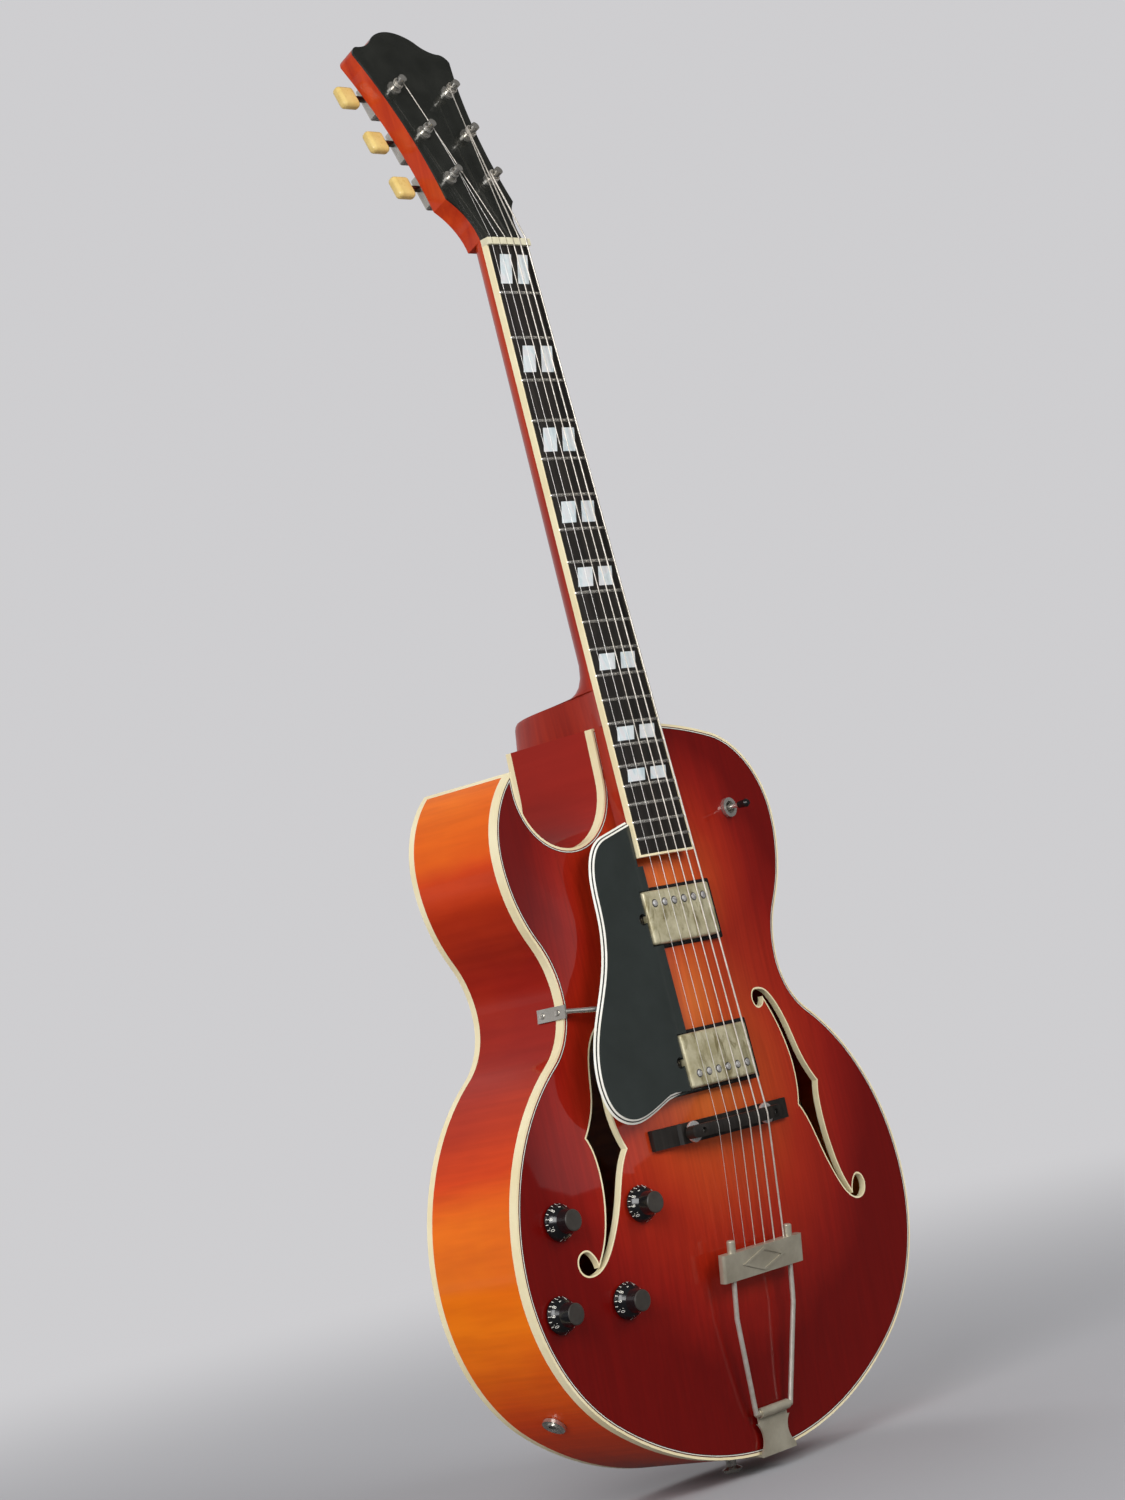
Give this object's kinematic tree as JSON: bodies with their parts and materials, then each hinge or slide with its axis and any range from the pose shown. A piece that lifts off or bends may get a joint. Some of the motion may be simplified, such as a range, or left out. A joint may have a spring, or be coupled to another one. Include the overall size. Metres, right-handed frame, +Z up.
{
  "type": "archtop electric guitar",
  "caption": "Left-handed hollow-body archtop guitar with a rounded cutaway, f-holes, pickups under hinged-tailpiece strings, height-adjustable bridge and geared tuners.",
  "frame": {"origin": "strap button's seat, in the middle of the tail end of the rim", "axes": "+X to the viewer's right, +Y to the back, +Z up along the neck; the top faces -Y"},
  "size_m": [0.407, 0.1356, 1.05],
  "materials": {
    "burst_maple": "gloss lacquer, cherry red burst",
    "cream_binding": "aged cream celluloid",
    "spruce": "bare",
    "mahogany": "gloss lacquer, cherry",
    "black_veneer": "gloss lacquer",
    "ebony": "oiled",
    "pearl": "pearl",
    "bone": "polished bone",
    "nickel": "aged nickel plate",
    "cream_plastic": "moulded cream plastic",
    "string_steel": "wound and plain steel",
    "black_plastic": "gloss"
  },
  "bodies": {
    "instrument": {"back_plate": "burst_maple", "body_binding": "cream_binding", "bridge_base": "ebony", "bridge_pickup_ring": "black_plastic", "bridge_posts": "nickel", "f_hole_bindings": "cream_binding", "fingerboard": "ebony", "fingerboard_binding": "cream_binding", "frets": "nickel", "head_block": "spruce", "headstock_veneer": "black_veneer", "inlays": "pearl", "linings": "spruce", "neck": "mahogany", "neck_pickup_ring": "black_plastic", "nut": "bone", "output_jack": "nickel", "pickguard": "black_plastic", "pickguard_bracket": "nickel", "pots": "nickel", "rib_bass": "burst_maple", "rib_cutaway": "burst_maple", "rib_horn": "burst_maple", "rib_treble": "burst_maple", "strap_button": "nickel", "strings": "string_steel", "tail_block": "spruce", "tailpiece_hinge": "nickel", "toggle_switch": "nickel", "top_braces": "spruce", "top_plate": "burst_maple", "truss_rod": "string_steel", "tuner_bushings": "nickel", "tuner_housings": "nickel"},
    "key_1": {"tuner_key_1": "cream_plastic"},
    "post_1": {"tuner_post_1": "nickel"},
    "key_2": {"tuner_key_2": "cream_plastic"},
    "post_2": {"tuner_post_2": "nickel"},
    "key_3": {"tuner_key_3": "cream_plastic"},
    "post_3": {"tuner_post_3": "nickel"},
    "key_4": {"tuner_key_4": "cream_plastic"},
    "post_4": {"tuner_post_4": "nickel"},
    "key_5": {"tuner_key_5": "cream_plastic"},
    "post_5": {"tuner_post_5": "nickel"},
    "key_6": {"tuner_key_6": "cream_plastic"},
    "post_6": {"tuner_post_6": "nickel"},
    "volume_knob_neck": {"volume_knob_neck": "black_plastic"},
    "volume_knob_bridge": {"volume_knob_bridge": "black_plastic"},
    "tone_knob_neck": {"tone_knob_neck": "black_plastic"},
    "tone_knob_bridge": {"tone_knob_bridge": "black_plastic"},
    "toggle_lever": {"toggle_lever": "black_plastic"},
    "saddle": {"bridge_saddle": "ebony"},
    "wheel_bass": {"thumbwheel_bass": "nickel"},
    "wheel_treble": {"thumbwheel_treble": "nickel"},
    "tailpiece": {"tailpiece": "nickel"},
    "neck_pickup": {"neck_pickup_cover": "nickel", "neck_pole_screws": "nickel"},
    "bridge_pickup": {"bridge_pickup_cover": "nickel", "bridge_pole_screws": "nickel"}
  },
  "joints": [
    {"name": "key_1_turn", "type": "hinge", "parent": "instrument", "child": "key_1", "pos_m": [0.0205, 0.00686, 0.91005], "axis": [1, 0, 0], "continuous": true},
    {"name": "post_1_turn", "type": "hinge", "parent": "instrument", "child": "post_1", "pos_m": [0.0205, -0.01303, 0.9105], "axis": [0, -0.9375, 0.3481], "continuous": true},
    {"name": "key_2_turn", "type": "hinge", "parent": "instrument", "child": "key_2", "pos_m": [0.022, 0.02096, 0.94801], "axis": [1, 0, 0], "continuous": true},
    {"name": "post_2_turn", "type": "hinge", "parent": "instrument", "child": "post_2", "pos_m": [0.022, 0.00107, 0.94847], "axis": [0, -0.9375, 0.3481], "continuous": true},
    {"name": "key_3_turn", "type": "hinge", "parent": "instrument", "child": "key_3", "pos_m": [0.0273, 0.03488, 0.98551], "axis": [1, 0, 0], "continuous": true},
    {"name": "post_3_turn", "type": "hinge", "parent": "instrument", "child": "post_3", "pos_m": [0.0273, 0.01499, 0.98596], "axis": [0, -0.9375, 0.3481], "continuous": true},
    {"name": "key_4_turn", "type": "hinge", "parent": "instrument", "child": "key_4", "pos_m": [-0.0273, 0.03488, 0.98551], "axis": [-1, 0, 0], "continuous": true},
    {"name": "post_4_turn", "type": "hinge", "parent": "instrument", "child": "post_4", "pos_m": [-0.0273, 0.01499, 0.98596], "axis": [0, -0.9375, 0.3481], "continuous": true},
    {"name": "key_5_turn", "type": "hinge", "parent": "instrument", "child": "key_5", "pos_m": [-0.022, 0.02096, 0.94801], "axis": [-1, 0, 0], "continuous": true},
    {"name": "post_5_turn", "type": "hinge", "parent": "instrument", "child": "post_5", "pos_m": [-0.022, 0.00107, 0.94847], "axis": [0, -0.9375, 0.3481], "continuous": true},
    {"name": "key_6_turn", "type": "hinge", "parent": "instrument", "child": "key_6", "pos_m": [-0.0205, 0.00686, 0.91005], "axis": [-1, 0, 0], "continuous": true},
    {"name": "post_6_turn", "type": "hinge", "parent": "instrument", "child": "post_6", "pos_m": [-0.0205, -0.01303, 0.9105], "axis": [0, -0.9375, 0.3481], "continuous": true},
    {"name": "volume_knob_neck_turn", "type": "hinge", "parent": "instrument", "child": "volume_knob_neck", "pos_m": [-0.09211, -0.05296, 0.186], "axis": [-0.1232, -0.9924, -0.0053], "range_deg": [-135, 135]},
    {"name": "volume_knob_bridge_turn", "type": "hinge", "parent": "instrument", "child": "volume_knob_bridge", "pos_m": [-0.11908, -0.04777, 0.12695], "axis": [-0.0926, -0.9941, -0.0568], "range_deg": [-135, 135]},
    {"name": "tone_knob_neck_turn", "type": "hinge", "parent": "instrument", "child": "tone_knob_neck", "pos_m": [-0.16407, -0.04462, 0.18801], "axis": [-0.0826, -0.9965, 0.0109], "range_deg": [-135, 135]},
    {"name": "tone_knob_bridge_turn", "type": "hinge", "parent": "instrument", "child": "tone_knob_bridge", "pos_m": [-0.17904, -0.04342, 0.12999], "axis": [-0.0428, -0.999, -0.0123], "range_deg": [-135, 135]},
    {"name": "toggle_tilt", "type": "hinge", "parent": "instrument", "child": "toggle_lever", "pos_m": [0.094, -0.03956, 0.439], "axis": [1, 0, 0], "range_deg": [-14, 14]},
    {"name": "saddle_lift", "type": "slide", "parent": "instrument", "child": "saddle", "axis": [0, -1, 0], "range_m": [-0.0007, 0.0021], "deforming": ["strings"]},
    {"name": "wheel_bass_turn", "type": "hinge", "parent": "saddle", "child": "wheel_bass", "pos_m": [0.0385, -0.0644, 0.224], "axis": [0, -1, 0], "range_deg": [-360, 1080]},
    {"name": "wheel_treble_turn", "type": "hinge", "parent": "saddle", "child": "wheel_treble", "pos_m": [-0.0385, -0.0644, 0.224], "axis": [0, -1, 0], "range_deg": [-360, 1080]},
    {"name": "tailpiece_swing", "type": "hinge", "parent": "instrument", "child": "tailpiece", "pos_m": [0, -0.0485, 0.028], "axis": [1, 0, 0], "range_deg": [0, 12], "stiffness_Nm_per_rad": 3, "deforming": ["strings"]},
    {"name": "neck_pickup_height", "type": "slide", "parent": "instrument", "child": "neck_pickup", "axis": [0, -0.9984, 0.057], "range_m": [-0.0025, 0.0015]},
    {"name": "bridge_pickup_height", "type": "slide", "parent": "instrument", "child": "bridge_pickup", "axis": [0, -0.9984, 0.057], "range_m": [-0.0025, 0.0015]}
  ],
  "couplings": [
    {"joint": "post_1_turn", "follows": "key_1_turn", "ratio": -0.071429},
    {"joint": "post_2_turn", "follows": "key_2_turn", "ratio": -0.071429},
    {"joint": "post_3_turn", "follows": "key_3_turn", "ratio": -0.071429},
    {"joint": "post_4_turn", "follows": "key_4_turn", "ratio": 0.071429},
    {"joint": "post_5_turn", "follows": "key_5_turn", "ratio": 0.071429},
    {"joint": "post_6_turn", "follows": "key_6_turn", "ratio": 0.071429},
    {"joint": "wheel_bass_turn", "follows": "saddle_lift", "rad_per_m": 8976},
    {"joint": "wheel_treble_turn", "follows": "saddle_lift", "rad_per_m": 8976}
  ]
}
